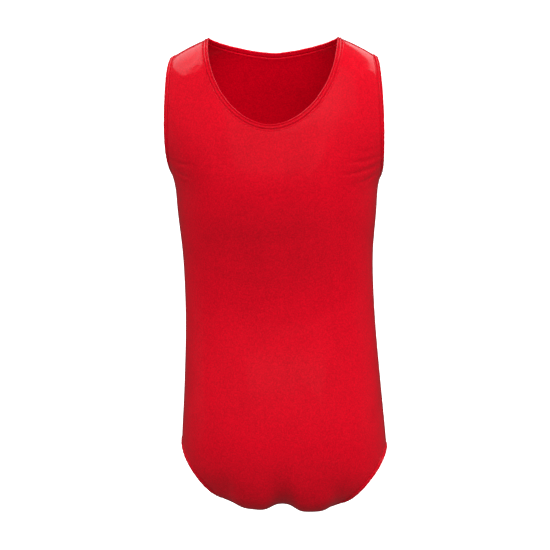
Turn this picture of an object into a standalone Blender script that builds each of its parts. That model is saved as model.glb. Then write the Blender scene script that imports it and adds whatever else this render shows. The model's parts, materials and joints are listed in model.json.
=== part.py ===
"""A child's sleeveless leotard, filled out as it is worn, with no wearer in it.

Two panels of knit cloth, a back and a front, meet at the shoulders, the sides and the crotch. Each is
cut from the surface of a plain, general figure, which is stated below as rings running from the
shoulder line to the crotch. Five narrow bands of folded cloth finish the neckline, the armholes and
the leg openings.

Metres, +Z up. The origin is midway between the two shoulder seams at their neck ends, the back faces -Y,
and +X is the wearer's right.
"""

import bpy
import numpy as np

MM = 0.001

# Cloth and seams
CLOTH = 1.2 * MM
SEAM_GAP = 0.3 * MM
BAND_WIDTH = 6.0 * MM
BAND_THICK = 2.4 * MM

# Cross-section of a band, as shares of its width from the panel's edge and of half its thickness
BAND_PROFILE = (
    (0.0, -0.75),
    (0.0, 0.75),
    (0.45, 1.0),
    (1.0, 0.45),
    (1.0, -0.45),
    (0.45, -1.0),
)

# The figure, in millimetres. Each ring leaves the centre of the back, passes the side and reaches the
# centre of the front. Rings over the shoulders droop towards the side and rings under the seat rise.
FIGURE_COLUMNS = (
    "side_height",
    "sway",
    "half_width",
    "back_depth",
    "back_height",
    "front_depth",
    "front_height",
)
FIGURE_ROWS = (
    (-36.8, 0.0, 135.0, 0.0, 14.2, 0.0, 14.2),
    (-39.8, 0.1, 135.0, -20.0, 9.9, 20.0, 9.9),
    (-46.8, 0.3, 135.0, -38.0, -2.6, 37.0, -2.6),
    (-59.8, 0.6, 134.6, -52.0, -22.4, 50.0, -22.4),
    (-76.8, 0.9, 133.6, -63.0, -49.0, 60.0, -49.0),
    (-96.5, 1.1, 131.0, -73.0, -80.0, 69.0, -80.0),
    (-118.0, 1.3, 125.2, -80.5, -112.0, 75.5, -112.0),
    (-137.0, 1.5, 117.2, -84.5, -136.0, 78.5, -136.0),
    (-154.0, 1.7, 111.2, -86.0, -154.0, 79.5, -154.0),
    (-180.0, 2.1, 108.4, -84.0, -180.0, 78.5, -180.0),
    (-225.0, 2.9, 104.2, -74.5, -225.0, 74.5, -225.0),
    (-268.0, 4.4, 103.0, -68.0, -268.0, 73.0, -268.0),
    (-312.0, 6.2, 103.9, -70.5, -312.0, 75.0, -312.0),
    (-356.0, 7.8, 106.4, -79.0, -356.0, 76.0, -356.0),
    (-400.0, 9.2, 109.5, -88.0, -400.0, 74.0, -400.0),
    (-432.0, 10.0, 112.0, -91.5, -432.0, 68.0, -432.0),
    (-455.0, 10.5, 113.6, -89.0, -458.0, 59.5, -459.0),
    (-474.0, 10.8, 115.0, -77.0, -484.0, 46.0, -483.0),
    (-490.0, 11.0, 116.0, -57.0, -499.5, 30.0, -498.5),
    (-502.0, 11.2, 116.5, -30.0, -506.5, 14.0, -508.0),
    (-508.0, 11.4, 116.5, 0.0, -511.0, 0.0, -511.0),
)
FULLNESS = 0.25

# The pose: the hips lean down to the wearer's right, and the cloth is slid a little round the figure
HIP_TILT = 0.033
TILT_FROM = 0.45
SLIDE = -0.022

# Two low swells of the seat, either side of the centre, in the cloth just behind the crotch
SWELL_DROP = 13.5 * MM
SWELL_CENTRE = 32.0 * MM
SWELL_SPREAD = 21.5 * MM
SWELL_RING = 0.90
SWELL_REACH = 0.06

# Heights of the two ends of the side seams
SIDE_SEAM_FROM = -152.0 * MM
SIDE_SEAM_TO = -440.0 * MM

# Neckline: half its width at the shoulder seams, and its drop at the back and at the front
NECK_HALF_WIDTH = 75.0 * MM
BACK_NECK_DROP = 93.4 * MM
BACK_NECK_POWER = 1.9
FRONT_NECK_DROP = 23.0 * MM
FRONT_NECK_POWER = 1.45
LOWEST_NECK_RING = 0.5

# Armholes: half the width across the shoulder tips, and how far the panels swell out below them
TIP_HALF_WIDTH = 105.3 * MM
BACK_ARMHOLE_BULGE = 4.5 * MM
FRONT_ARMHOLE_BULGE = 0.5 * MM
ARMHOLE_POWER = 0.5

# Leg openings: half the width of the crotch seam, and how fast each panel narrows towards it
CROTCH_HALF_WIDTH = 19.0 * MM
BACK_LEG_POWERS = (1.2, 0.8)
FRONT_LEG_POWERS = (1.0, 1.3)

# Mesh
COLUMNS_SHOULDER = 4
COLUMNS_NECK = 22
COLUMNS_LEG = 13
COLUMNS_CROTCH = 4
ROWS_ARMHOLE = 14
ROWS_BODY = 28
ROWS_CLOSING = 0.5
CORNER_SPREAD = 0.86
NECK_FADE = 1.3
SAMPLES = 400
HALVINGS = 40
NUDGE = 1e-4
SHARP_EDGE = np.radians(50.0)

# Looks
RED = (0.62, 0.004, 0.018, 1.0)
PANEL_ROUGHNESS = 0.35
BAND_ROUGHNESS = 0.3


def periodic_spline(knots, values, period):
    """The smooth closed curve through the values at the knots, with its slope and curvature unbroken."""
    count = len(knots)
    gap = np.diff(np.append(knots, knots[0] + period))
    rise = (np.roll(values, -1) - values) / gap
    matrix = np.zeros((count, count))
    for k in range(count):
        matrix[k, k - 1] = gap[k - 1]
        matrix[k, k] = 2.0 * (gap[k - 1] + gap[k])
        matrix[k, (k + 1) % count] = gap[k]
    bend = np.linalg.solve(matrix, 6.0 * (rise - np.roll(rise, 1)))

    def curve(where):
        where = (np.asarray(where, float) - knots[0]) % period
        start = knots - knots[0]
        k = np.clip(np.searchsorted(start, where, side="right") - 1, 0, count - 1)
        after = (k + 1) % count
        left, right = where - start[k], start[k] + gap[k] - where
        return (
            (bend[k] * right**3 + bend[after] * left**3) / (6.0 * gap[k])
            + (values[k] / gap[k] - bend[k] * gap[k] / 6.0) * right
            + (values[after] / gap[k] - bend[after] * gap[k] / 6.0) * left
        )

    return curve


def ease(share):
    """A smooth step from 0 to 1."""
    share = np.clip(share, 0.0, 1.0)
    return share**2 * (3.0 - 2.0 * share)


class Figure:
    """The surface that the panels are cut from. A ring is 0 at the shoulder line, 1 at the crotch by way
    of the back and -1 by way of the front. The angle is 0 at the centre and 90 degrees at the side."""

    def __init__(self):
        table = dict(zip(FIGURE_COLUMNS, np.array(FIGURE_ROWS).T * MM))
        back = np.stack([table["back_depth"], table["back_height"]], axis=1)
        front = np.stack([table["front_depth"], table["front_height"]], axis=1)
        side = np.stack([0 * table["side_height"], table["side_height"]], axis=1)
        steps = sum(np.linalg.norm(np.diff(line, axis=0), axis=1) for line in (back, front, side)) / 3
        self.length = steps.sum()
        rings = np.append(0.0, np.cumsum(steps)) / self.length
        knots = np.concatenate([-rings[:0:-1], rings[:-1]])

        def around(back_values, front_values):
            return periodic_spline(knots, np.concatenate([front_values[:0:-1], back_values[:-1]]), 2.0)

        self.side_height = around(table["side_height"], table["side_height"])
        self.sway = around(table["sway"], table["sway"])
        self.half_width = around(table["half_width"], table["half_width"])
        self.depth = around(table["back_depth"], table["front_depth"])
        self.height = around(table["back_height"], table["front_height"])

    def ring_at_side(self, height):
        """The ring whose side lies at this height."""
        rings = np.linspace(0.0, 1.0, 10 * SAMPLES)
        return float(np.interp(-height, -self.side_height(rings), rings))

    def point(self, ring, angle):
        width, depth, height = self.half_width(ring), self.depth(ring), self.height(ring)
        across = np.sin(angle)
        x = width * across
        y = depth * np.cos(angle) * (1.0 + FULLNESS * across**2)
        z = height + (self.side_height(ring) - height) * across**2
        swell = np.exp(-(((np.abs(x) - SWELL_CENTRE) / SWELL_SPREAD) ** 4))
        behind = (ring - SWELL_RING + 1.0) % 2.0 - 1.0
        reach = np.exp(-((behind / SWELL_REACH) ** 2))
        lean = HIP_TILT * ease((np.abs(ring) - TILT_FROM) / (1.0 - TILT_FROM))
        return np.stack([x + self.sway(ring), y, z - SWELL_DROP * swell * reach - lean * x], axis=-1)

    def normal(self, ring, angle):
        """The unit vector out of the figure."""
        down = self.point(ring + NUDGE, angle) - self.point(ring - NUDGE, angle)
        along = self.point(ring, angle + NUDGE) - self.point(ring, angle - NUDGE)
        out = np.cross(down, along)
        return out / np.linalg.norm(out, axis=-1, keepdims=True)


FIGURE = Figure()
UNDERARM = FIGURE.ring_at_side(SIDE_SEAM_FROM)
LEG_TOP = FIGURE.ring_at_side(SIDE_SEAM_TO)
SEAM_RING = 0.5 * SEAM_GAP / FIGURE.length


def halve_towards(end, holds):
    """The place between 0 and the end where a test that holds at first stops holding."""
    low, high = np.zeros_like(end), end
    for _ in range(HALVINGS):
        middle = 0.5 * (low + high)
        inside = holds(middle)
        low, high = np.where(inside, middle, low), np.where(inside, high, middle)
    return low


def evenly(points, count):
    """Positions from 0 to 1 that cut a line of points into pieces of one length."""
    along = np.append(0.0, np.cumsum(np.linalg.norm(np.diff(points, axis=0), axis=1)))
    return np.interp(np.linspace(0.0, along[-1], count + 1), along, np.linspace(0.0, 1.0, len(points)))


def seam_angle(ring):
    """The angle of a side seam, less half of the gap between the panels."""
    return 0.5 * np.pi - 0.5 * SEAM_GAP / (np.abs(FIGURE.depth(ring)) * (1.0 + FULLNESS) + BAND_WIDTH)


def edge_angle(ring):
    """The angle at which the panel ends: at the armhole, then at the side seam, then at the leg."""
    level, back = np.abs(ring), ring > 0
    width = FIGURE.half_width(ring)
    under, top = FIGURE.half_width(UNDERARM), FIGURE.half_width(LEG_TOP)
    q = np.clip(level / UNDERARM, 0.0, 1.0)
    bulge = np.where(back, BACK_ARMHOLE_BULGE, FRONT_ARMHOLE_BULGE)
    armhole = TIP_HALF_WIDTH + (under - TIP_HALF_WIDTH) * q + bulge * np.sin(np.pi * q) ** ARMHOLE_POWER
    q = np.clip((level - LEG_TOP) / (1.0 - LEG_TOP), 0.0, 1.0)
    outer = np.where(back, BACK_LEG_POWERS[0], FRONT_LEG_POWERS[0])
    inner = np.where(back, BACK_LEG_POWERS[1], FRONT_LEG_POWERS[1])
    leg = CROTCH_HALF_WIDTH + (top - CROTCH_HALF_WIDTH) * (1.0 - q**outer) ** inner
    half = np.where(level < UNDERARM, armhole, np.where(level > LEG_TOP, leg, width))
    return np.minimum(np.arcsin(np.clip(half / width, 0.0, 1.0)), seam_angle(ring))


def neck_cut(side, share):
    """Level and angle of the neck edge, from 0 at the shoulder seam to 1 at the centre."""
    drop, power = (BACK_NECK_DROP, BACK_NECK_POWER) if side > 0 else (FRONT_NECK_DROP, FRONT_NECK_POWER)
    turn = 0.5 * np.pi * share
    x = NECK_HALF_WIDTH * np.cos(turn) ** (2.0 / power)
    start = FIGURE.point(0.0, np.arcsin(NECK_HALF_WIDTH / FIGURE.half_width(0.0)))[2]
    z = start + (-drop - start) * np.sin(turn) ** (2.0 / power)

    def angle_there(level):
        return np.arcsin(x / FIGURE.half_width(side * level))

    def above(level):
        return FIGURE.point(side * level, angle_there(level))[..., 2] > z

    level = halve_towards(np.full_like(x, LOWEST_NECK_RING), above)
    return level, angle_there(level)


def column_angle(ring, share):
    """The angle of a column beside an armhole, given as its share of the way from the centre to the edge.
    The inner columns already widen towards the side seam, so that they don't bend sharply at its foot."""
    edge = edge_angle(ring)
    start = edge_angle(np.sign(ring) * SEAM_RING)
    inner = start + (seam_angle(ring) - start) * ease(np.abs(ring) / UNDERARM)
    return share * (inner + (edge - inner) * np.abs(share))


def top_edge(side):
    """Level and share at the top of each column, from one shoulder tip to the other."""
    level, angle = neck_cut(side, np.linspace(0.0, 1.0, SAMPLES))
    cut = evenly(FIGURE.point(side * level, angle), COLUMNS_NECK // 2)
    level, angle = neck_cut(side, cut)
    ring = side * np.maximum(level, SEAM_RING)
    share = halve_towards(np.ones_like(angle), lambda at: column_angle(ring, at) < angle)
    seam = np.linspace(1.0, share[0], COLUMNS_SHOULDER + 1)[:-1]
    levels = np.concatenate([np.zeros(COLUMNS_SHOULDER), level])
    shares = np.concatenate([seam, share])
    return np.concatenate([levels, levels[-2::-1]]), np.concatenate([-shares, shares[-2::-1]])


def edge_levels(side, start, end, count):
    """Levels that cut the side edge of a panel into pieces of one length."""
    levels = np.linspace(start, end, SAMPLES)
    share = evenly(FIGURE.point(side * levels, edge_angle(side * levels)), count)
    return start + (end - start) * share


def bottom_edge(side):
    """Level and angle at the foot of each column: along one leg opening, the crotch and the other leg."""
    level = edge_levels(side, LEG_TOP, 1.0 - SEAM_RING, COLUMNS_LEG)
    angle = edge_angle(side * level)
    crotch = np.linspace(-angle[-1], angle[-1], COLUMNS_CROTCH + 1)[1:-1]
    levels = np.concatenate([level, np.full_like(crotch, level[-1]), level[::-1]])
    return levels, np.concatenate([-angle, crotch, angle[::-1]])


def panel_grid(side):
    """Ring and angle of each point of a panel, rows from the top edge to the bottom edge, columns from left
    to right. The columns start evenly spaced along the top edge, have spread out by the underarm, and
    close up again to end evenly spaced along the leg openings and the crotch."""
    top_level, top_share = top_edge(side)
    bottom_level, bottom_angle = bottom_edge(side)
    corner = np.linspace(CORNER_SPREAD, 1.0, COLUMNS_SHOULDER + 1)[1:]
    middle = np.linspace(-CORNER_SPREAD, CORNER_SPREAD, COLUMNS_NECK + 1)
    spread = np.concatenate([-corner[::-1], middle, corner])

    level = edge_levels(side, SEAM_RING, UNDERARM, ROWS_ARMHOLE)[:, None]
    hold = 1.0 - (level - SEAM_RING) / (UNDERARM - SEAM_RING)
    ring_above = side * (level + top_level * hold**NECK_FADE)
    angle_above = column_angle(ring_above, top_share * hold**2 + spread * (1.0 - hold**2))

    down = np.linspace(0.0, 1.0, ROWS_BODY + 1)[1:, None]
    fall = down + ROWS_CLOSING * down * (1.0 - down)
    ring_below = side * (UNDERARM + (bottom_level - UNDERARM) * fall)
    angle_below = spread * seam_angle(ring_below) * (1.0 - down**2) + bottom_angle * down**2

    angle = np.concatenate([angle_above, angle_below])
    return np.concatenate([ring_above, ring_below]), angle + SLIDE * np.cos(angle)


def new_material(name, roughness):
    material = bpy.data.materials.new(name)
    material.use_nodes = True
    shader = material.node_tree.nodes["Principled BSDF"]
    shader.inputs["Base Color"].default_value = RED
    shader.inputs["Roughness"].default_value = roughness
    shader.inputs["Metallic"].default_value = 0.0
    return material


def add_object(name, points, faces, roughness):
    mesh = bpy.data.meshes.new(name)
    mesh.from_pydata([tuple(point) for point in points], [], faces)
    mesh.validate()
    mesh.materials.append(new_material(name, roughness))
    mesh.shade_smooth()
    mesh.set_sharp_from_angle(angle=SHARP_EDGE)
    piece = bpy.data.objects.new(name, mesh)
    bpy.context.scene.collection.objects.link(piece)


def halved(squares, points):
    """Two triangles for each square, cut along its shorter diagonal."""
    corner = points[squares]
    one = np.linalg.norm(corner[:, 0] - corner[:, 2], axis=1)
    other = np.linalg.norm(corner[:, 1] - corner[:, 3], axis=1)
    turned = np.where((one > other)[:, None], np.roll(squares, 1, axis=1), squares)
    return np.concatenate([turned[:, [0, 1, 2]], turned[:, [0, 2, 3]]])


def add_panel(name, side):
    """A wall of cloth: the outer grid, the inner grid and a strip round the edge that joins them."""
    ring, angle = panel_grid(side)
    middle, out = FIGURE.point(ring, angle), FIGURE.normal(ring, angle)
    rows, columns = ring.shape
    total = rows * columns
    number = np.arange(total).reshape(rows, columns)
    square = np.stack([number[:-1, :-1], number[1:, :-1], number[1:, 1:], number[:-1, 1:]], axis=-1)
    outer = halved(square.reshape(-1, 4), middle.reshape(-1, 3))
    rim = np.concatenate([number[0, :-1], number[:-1, -1], number[-1, :0:-1], number[:0:-1, 0]])
    after = np.roll(rim, -1)
    strip = np.stack([rim, after, after + total, rim + total], axis=1)
    faces = outer.tolist() + (outer[:, ::-1] + total).tolist() + strip.tolist()
    if side < 0:
        faces = [face[::-1] for face in faces]
    points = np.stack([middle + 0.5 * CLOTH * out, middle - 0.5 * CLOTH * out])
    add_object(name, points.reshape(-1, 3), faces, PANEL_ROUGHNESS)


def closed_edge(back, front):
    """Points and outward normals of an edge that runs along the back panel and returns along the front,
    with a single point in each of the two seams that it crosses."""
    closed = []
    for of in (FIGURE.point, FIGURE.normal):
        there, again = of(*back), of(*front)
        first, last = 0.5 * (there[0] + again[-1]), 0.5 * (there[-1] + again[0])
        closed.append(np.concatenate([[first], there[1:-1], [last], again[1:-1]]))
    return closed


def add_band(name, back, front, flip):
    """A band of folded cloth: a rounded profile carried round the edge, its flat side to the panel."""
    points, out = closed_edge(back, front)
    along = np.roll(points, -1, axis=0) - np.roll(points, 1, axis=0)
    away = np.cross(along, out) if flip else np.cross(out, along)
    away = away / np.linalg.norm(away, axis=1, keepdims=True)
    profile = np.array(BAND_PROFILE)
    across = SEAM_GAP + (BAND_WIDTH - SEAM_GAP) * profile[:, 0, None]
    raised = 0.5 * BAND_THICK * profile[:, 1, None]
    verts = points[:, None] + across * away[:, None] + raised * out[:, None]
    count, sides = verts.shape[:2]
    number = np.arange(count * sides).reshape(count, sides)
    beside, after = np.roll(number, -1, axis=1), np.roll(number, -1, axis=0)
    square = np.stack([number, after, np.roll(after, -1, axis=1), beside], axis=-1).reshape(-1, 4)
    verts = verts.reshape(-1, 3)
    faces = halved(square[:, ::-1] if flip else square, verts)
    add_object(name, verts, faces.tolist(), BAND_ROUGHNESS)


def add_bands():
    """The neck band runs round both panels' neck edges, and each other band round an armhole or a leg."""
    back, front = panel_grid(1), panel_grid(-1)
    neck = slice(COLUMNS_SHOULDER, COLUMNS_SHOULDER + COLUMNS_NECK + 1)
    armhole = slice(0, ROWS_ARMHOLE + 1)
    left_leg, right_leg = slice(0, COLUMNS_LEG + 1), slice(None, -COLUMNS_LEG - 2, -1)
    for name, edge, flip in (
        ("neck_band", (0, neck), False),
        ("armhole_band_left", (armhole, 0), True),
        ("armhole_band_right", (armhole, -1), False),
        ("leg_band_left", (-1, left_leg), True),
        ("leg_band_right", (-1, right_leg), False),
    ):
        add_band(name, [grid[edge] for grid in back], [grid[edge][::-1] for grid in front], flip)


def main():
    for thing in list(bpy.data.objects):
        bpy.data.objects.remove(thing)
    add_panel("back_panel", 1)
    add_panel("front_panel", -1)
    add_bands()


if __name__ == "__main__":
    main()
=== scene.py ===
"""The looks of a child's sleeveless leotard, filled out as it is worn, with no wearer in it.

Two panels of shiny knit, narrow bands with two rows of stitches, and the seams that join them are laid
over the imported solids, in a pale studio.

Metres, in the frame of the solids: +Z up, the back faces -Y, and +X is the wearer's right.
"""

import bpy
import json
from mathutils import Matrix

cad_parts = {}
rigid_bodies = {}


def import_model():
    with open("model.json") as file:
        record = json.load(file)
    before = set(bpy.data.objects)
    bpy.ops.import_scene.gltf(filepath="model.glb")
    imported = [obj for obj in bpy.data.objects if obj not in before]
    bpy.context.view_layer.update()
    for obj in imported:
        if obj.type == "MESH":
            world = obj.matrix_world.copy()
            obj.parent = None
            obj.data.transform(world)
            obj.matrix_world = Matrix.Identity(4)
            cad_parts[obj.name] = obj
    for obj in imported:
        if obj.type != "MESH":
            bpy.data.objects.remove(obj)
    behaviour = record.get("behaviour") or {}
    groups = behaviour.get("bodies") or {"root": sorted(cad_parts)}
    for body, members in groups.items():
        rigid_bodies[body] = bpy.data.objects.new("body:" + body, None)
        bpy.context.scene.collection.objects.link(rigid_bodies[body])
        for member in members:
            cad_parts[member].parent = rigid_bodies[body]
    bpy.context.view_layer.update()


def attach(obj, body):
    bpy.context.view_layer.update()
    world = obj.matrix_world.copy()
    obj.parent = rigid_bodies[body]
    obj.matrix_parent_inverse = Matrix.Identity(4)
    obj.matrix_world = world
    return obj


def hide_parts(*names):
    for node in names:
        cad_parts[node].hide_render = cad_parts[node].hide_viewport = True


bl_info = {
    "name": "Sleeveless leotard",
    "version": (1, 0, 0),
    "blender": (4, 5, 0),
    "location": "3D View > Sidebar > Leotard",
    "description": "Dresses the leotard's solids in knit cloth, stitched bands and seams",
    "category": "Object",
}

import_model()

import json
import math

import bpy
import numpy as np
from mathutils import Vector

MM = 0.001
BODY = "root"

# Cloth and seams
CLOTH = 1.2 * MM
SEAM_GAP = 0.04 * MM
BAND_WIDTH = 6.0 * MM

# The figure, in millimetres. Each ring leaves the centre of the back, passes the side and reaches the
# centre of the front. Rings over the shoulders droop towards the side and rings under the seat rise.
FIGURE_COLUMNS = (
    "side_height",
    "sway",
    "half_width",
    "back_depth",
    "back_height",
    "front_depth",
    "front_height",
)
FIGURE_ROWS = (
    (-36.8, 0.0, 135.0, 0.0, 14.2, 0.0, 14.2),
    (-39.8, 0.1, 135.0, -20.0, 9.9, 20.0, 9.9),
    (-46.8, 0.3, 135.0, -38.0, -2.6, 37.0, -2.6),
    (-59.8, 0.6, 134.6, -52.0, -22.4, 50.0, -22.4),
    (-76.8, 0.9, 133.6, -63.0, -49.0, 60.0, -49.0),
    (-96.5, 1.1, 131.0, -73.0, -80.0, 69.0, -80.0),
    (-118.0, 1.3, 125.2, -80.5, -112.0, 75.5, -112.0),
    (-137.0, 1.5, 117.2, -84.5, -136.0, 78.5, -136.0),
    (-154.0, 1.7, 111.2, -86.0, -154.0, 79.5, -154.0),
    (-180.0, 2.1, 108.4, -84.0, -180.0, 78.5, -180.0),
    (-225.0, 2.9, 104.2, -74.5, -225.0, 74.5, -225.0),
    (-268.0, 4.4, 103.0, -68.0, -268.0, 73.0, -268.0),
    (-312.0, 6.2, 103.9, -70.5, -312.0, 75.0, -312.0),
    (-356.0, 7.8, 106.4, -79.0, -356.0, 76.0, -356.0),
    (-400.0, 9.2, 109.5, -88.0, -400.0, 74.0, -400.0),
    (-432.0, 10.0, 112.0, -91.5, -432.0, 68.0, -432.0),
    (-455.0, 10.5, 113.6, -89.0, -458.0, 59.5, -459.0),
    (-474.0, 10.8, 115.0, -77.0, -484.0, 46.0, -483.0),
    (-490.0, 11.0, 116.0, -57.0, -499.5, 30.0, -498.5),
    (-502.0, 11.2, 116.5, -30.0, -506.5, 14.0, -508.0),
    (-508.0, 11.4, 116.5, 0.0, -511.0, 0.0, -511.0),
)
FULLNESS = 0.25

# The pose: the hips lean down to the wearer's right, and the cloth is slid a little round the figure
HIP_TILT = 0.033
TILT_FROM = 0.45
SLIDE = -0.022

# Two low swells of the seat, either side of the centre, in the cloth just behind the crotch
SWELL_DROP = 13.5 * MM
SWELL_CENTRE = 32.0 * MM
SWELL_SPREAD = 21.5 * MM
SWELL_RING = 0.90
SWELL_REACH = 0.06

# Heights of the two ends of the side seams
SIDE_SEAM_FROM = -152.0 * MM
SIDE_SEAM_TO = -440.0 * MM

# Neckline: half its width at the shoulder seams, and its drop at the back and at the front
NECK_HALF_WIDTH = 75.0 * MM
BACK_NECK_DROP = 93.4 * MM
BACK_NECK_POWER = 1.9
FRONT_NECK_DROP = 23.0 * MM
FRONT_NECK_POWER = 1.45
LOWEST_NECK_RING = 0.5

# Armholes: half the width across the shoulder tips, and how far the panels swell out below them
TIP_HALF_WIDTH = 105.3 * MM
BACK_ARMHOLE_BULGE = 4.5 * MM
FRONT_ARMHOLE_BULGE = 0.5 * MM
ARMHOLE_POWER = 0.5

# Leg openings: half the width of the crotch seam, and how fast each panel narrows towards it
CROTCH_HALF_WIDTH = 19.0 * MM
BACK_LEG_POWERS = (1.2, 0.8)
FRONT_LEG_POWERS = (1.0, 1.3)

# Mesh: the columns and rows of the solids, each cut into FINE
FINE = 5
COLUMNS_SHOULDER = 4 * FINE
COLUMNS_NECK = 22 * FINE
COLUMNS_LEG = 13 * FINE
COLUMNS_CROTCH = 4 * FINE
ROWS_ARMHOLE = 14 * FINE
ROWS_BODY = 28 * FINE
ROWS_CLOSING = 0.5
CORNER_SPREAD = 0.86
NECK_FADE = 1.3
SAMPLES = 4000
HALVINGS = 40
NUDGE = 1e-4


def unit(vectors):
    return vectors / np.linalg.norm(vectors, axis=-1, keepdims=True)


def distances(points):
    """How far along a line of points each of them is."""
    return np.append(0.0, np.cumsum(np.linalg.norm(np.diff(points, axis=0), axis=1)))


def periodic_spline(knots, values, period):
    """The smooth closed curve through the values at the knots, with its slope and curvature unbroken."""
    count = len(knots)
    gap = np.diff(np.append(knots, knots[0] + period))
    rise = (np.roll(values, -1) - values) / gap
    matrix = np.zeros((count, count))
    for k in range(count):
        matrix[k, k - 1] = gap[k - 1]
        matrix[k, k] = 2.0 * (gap[k - 1] + gap[k])
        matrix[k, (k + 1) % count] = gap[k]
    bend = np.linalg.solve(matrix, 6.0 * (rise - np.roll(rise, 1)))

    def curve(where):
        where = (np.asarray(where, float) - knots[0]) % period
        start = knots - knots[0]
        k = np.clip(np.searchsorted(start, where, side="right") - 1, 0, count - 1)
        after = (k + 1) % count
        left, right = where - start[k], start[k] + gap[k] - where
        return (
            (bend[k] * right**3 + bend[after] * left**3) / (6.0 * gap[k])
            + (values[k] / gap[k] - bend[k] * gap[k] / 6.0) * right
            + (values[after] / gap[k] - bend[after] * gap[k] / 6.0) * left
        )

    return curve


def ease(share):
    """A smooth step from 0 to 1."""
    share = np.clip(share, 0.0, 1.0)
    return share**2 * (3.0 - 2.0 * share)


class Figure:
    """The surface that the panels are cut from. A ring is 0 at the shoulder line, 1 at the crotch by way
    of the back and -1 by way of the front. The angle is 0 at the centre and 90 degrees at the side."""

    def __init__(self):
        table = dict(zip(FIGURE_COLUMNS, np.array(FIGURE_ROWS).T * MM))
        back = np.stack([table["back_depth"], table["back_height"]], axis=1)
        front = np.stack([table["front_depth"], table["front_height"]], axis=1)
        side = np.stack([0 * table["side_height"], table["side_height"]], axis=1)
        steps = sum(np.linalg.norm(np.diff(line, axis=0), axis=1) for line in (back, front, side)) / 3
        self.length = steps.sum()
        rings = np.append(0.0, np.cumsum(steps)) / self.length
        knots = np.concatenate([-rings[:0:-1], rings[:-1]])

        def around(back_values, front_values):
            return periodic_spline(knots, np.concatenate([front_values[:0:-1], back_values[:-1]]), 2.0)

        self.side_height = around(table["side_height"], table["side_height"])
        self.sway = around(table["sway"], table["sway"])
        self.half_width = around(table["half_width"], table["half_width"])
        self.depth = around(table["back_depth"], table["front_depth"])
        self.height = around(table["back_height"], table["front_height"])

    def ring_at_side(self, height):
        """The ring whose side lies at this height."""
        rings = np.linspace(0.0, 1.0, 10 * SAMPLES)
        return float(np.interp(-height, -self.side_height(rings), rings))

    def point(self, ring, angle):
        width, depth, height = self.half_width(ring), self.depth(ring), self.height(ring)
        across = np.sin(angle)
        x = width * across
        y = depth * np.cos(angle) * (1.0 + FULLNESS * across**2)
        z = height + (self.side_height(ring) - height) * across**2
        swell = np.exp(-(((np.abs(x) - SWELL_CENTRE) / SWELL_SPREAD) ** 4))
        behind = (ring - SWELL_RING + 1.0) % 2.0 - 1.0
        reach = np.exp(-((behind / SWELL_REACH) ** 2))
        lean = HIP_TILT * ease((np.abs(ring) - TILT_FROM) / (1.0 - TILT_FROM))
        return np.stack([x + self.sway(ring), y, z - SWELL_DROP * swell * reach - lean * x], axis=-1)

    def normal(self, ring, angle):
        """The unit vector out of the figure."""
        down = self.point(ring + NUDGE, angle) - self.point(ring - NUDGE, angle)
        along = self.point(ring, angle + NUDGE) - self.point(ring, angle - NUDGE)
        return unit(np.cross(down, along))


FIGURE = Figure()
UNDERARM = FIGURE.ring_at_side(SIDE_SEAM_FROM)
LEG_TOP = FIGURE.ring_at_side(SIDE_SEAM_TO)
SEAM_RING = 0.5 * SEAM_GAP / FIGURE.length


def halve_towards(end, holds):
    """The place between 0 and the end where a test that holds at first stops holding."""
    low, high = np.zeros_like(end), end
    for _ in range(HALVINGS):
        middle = 0.5 * (low + high)
        inside = holds(middle)
        low, high = np.where(inside, middle, low), np.where(inside, high, middle)
    return low


def evenly(points, count):
    """Positions from 0 to 1 that cut a line of points into pieces of one length."""
    along = distances(points)
    return np.interp(np.linspace(0.0, along[-1], count + 1), along, np.linspace(0.0, 1.0, len(points)))


def seam_angle(ring):
    """The angle of a side seam, less half of the gap between the panels."""
    return 0.5 * np.pi - 0.5 * SEAM_GAP / (np.abs(FIGURE.depth(ring)) * (1.0 + FULLNESS) + BAND_WIDTH)


def edge_angle(ring):
    """The angle at which the panel ends: at the armhole, then at the side seam, then at the leg."""
    level, back = np.abs(ring), ring > 0
    width = FIGURE.half_width(ring)
    under, top = FIGURE.half_width(UNDERARM), FIGURE.half_width(LEG_TOP)
    q = np.clip(level / UNDERARM, 0.0, 1.0)
    bulge = np.where(back, BACK_ARMHOLE_BULGE, FRONT_ARMHOLE_BULGE)
    armhole = TIP_HALF_WIDTH + (under - TIP_HALF_WIDTH) * q + bulge * np.sin(np.pi * q) ** ARMHOLE_POWER
    q = np.clip((level - LEG_TOP) / (1.0 - LEG_TOP), 0.0, 1.0)
    outer = np.where(back, BACK_LEG_POWERS[0], FRONT_LEG_POWERS[0])
    inner = np.where(back, BACK_LEG_POWERS[1], FRONT_LEG_POWERS[1])
    leg = CROTCH_HALF_WIDTH + (top - CROTCH_HALF_WIDTH) * (1.0 - q**outer) ** inner
    half = np.where(level < UNDERARM, armhole, np.where(level > LEG_TOP, leg, width))
    return np.minimum(np.arcsin(np.clip(half / width, 0.0, 1.0)), seam_angle(ring))


def neck_cut(side, share):
    """Level and angle of the neck edge, from 0 at the shoulder seam to 1 at the centre."""
    drop, power = (BACK_NECK_DROP, BACK_NECK_POWER) if side > 0 else (FRONT_NECK_DROP, FRONT_NECK_POWER)
    turn = 0.5 * np.pi * share
    x = NECK_HALF_WIDTH * np.cos(turn) ** (2.0 / power)
    start = FIGURE.point(0.0, np.arcsin(NECK_HALF_WIDTH / FIGURE.half_width(0.0)))[2]
    z = start + (-drop - start) * np.sin(turn) ** (2.0 / power)

    def angle_there(level):
        return np.arcsin(x / FIGURE.half_width(side * level))

    def above(level):
        return FIGURE.point(side * level, angle_there(level))[..., 2] > z

    level = halve_towards(np.full_like(x, LOWEST_NECK_RING), above)
    return level, angle_there(level)


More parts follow.
